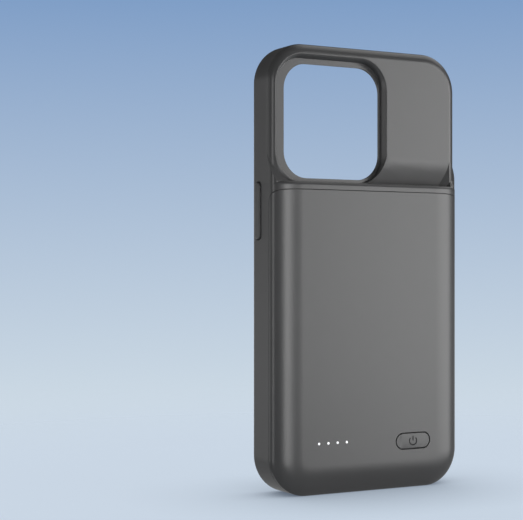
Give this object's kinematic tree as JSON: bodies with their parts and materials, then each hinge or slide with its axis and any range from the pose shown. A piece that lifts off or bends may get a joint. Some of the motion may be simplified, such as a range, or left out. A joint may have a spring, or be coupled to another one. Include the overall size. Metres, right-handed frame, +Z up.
{
  "type": "battery charging case",
  "caption": "Slim battery charging case for a slab phone: soft bumper with raised camera surround, rounded battery back, power button, charge lights and side keys.",
  "frame": {"origin": "on the floor under the middle of the case's bounding box", "axes": "+Z up along the case, +X to the right as seen from behind, -Y out of the battery back, +Y out of the phone's screen side"},
  "size_m": [0.078, 0.0172, 0.155],
  "materials": {
    "soft_shell": "matte soft touch, dark grey",
    "cover_shell": "matte soft touch, dark grey",
    "button_cap": "matte soft touch, dark grey",
    "inner_plastic": "fine matte, near black",
    "screw_steel": "plain",
    "light_plastic": "white, lit from inside",
    "circuit_board": "green solder mask",
    "chip_plastic": "black moulding",
    "ferrite": "dark grey",
    "capacitor_ceramic": "tan",
    "cell_foil": "satin pouch foil",
    "tape": "black adhesive",
    "foam": "black foam",
    "tab_nickel": "plain",
    "lead_red": "smooth",
    "lead_black": "smooth",
    "connector_steel": "satin",
    "connector_plastic": "black",
    "flex_film": "amber film"
  },
  "bodies": {
    "case": {"bumper": "soft_shell", "battery_cover": "cover_shell", "inner_chassis": "inner_plastic", "chassis_screws": "screw_steel", "light_guide": "light_plastic", "main_board": "circuit_board", "board_screws": "screw_steel", "status_leds": "light_plastic", "charge_controller": "chip_plastic", "boost_inductor": "ferrite", "power_transistors": "chip_plastic", "capacitors": "capacitor_ceramic", "tact_switch": "chip_plastic", "battery_cell": "cell_foil", "cell_tape": "tape", "cell_foam": "foam", "cell_tabs": "tab_nickel", "protection_board": "circuit_board", "lead_positive": "lead_red", "lead_negative": "lead_black", "charge_socket_shell": "connector_steel", "charge_socket_insert": "connector_plastic", "plug_board": "circuit_board", "plug_collar": "connector_plastic", "plug_shell": "connector_steel", "plug_core": "connector_plastic", "plug_flex": "flex_film"},
    "power_button": {"power_button": "button_cap", "switch_plunger": "chip_plastic"},
    "side_key": {"side_key": "soft_shell"},
    "volume_up_key": {"volume_up_key": "soft_shell"},
    "volume_down_key": {"volume_down_key": "soft_shell"}
  },
  "joints": [
    {"name": "power_button_press", "type": "slide", "parent": "case", "child": "power_button", "axis": [0, 1, 0], "range_m": [0, 0.0003], "stiffness_N_per_m": 4000},
    {"name": "side_key_press", "type": "slide", "parent": "case", "child": "side_key", "axis": [1, 0, 0], "range_m": [0, 0.0004], "stiffness_N_per_m": 4000},
    {"name": "volume_up_press", "type": "slide", "parent": "case", "child": "volume_up_key", "axis": [-1, 0, 0], "range_m": [0, 0.0004], "stiffness_N_per_m": 4000},
    {"name": "volume_down_press", "type": "slide", "parent": "case", "child": "volume_down_key", "axis": [-1, 0, 0], "range_m": [0, 0.0004], "stiffness_N_per_m": 4000}
  ]
}
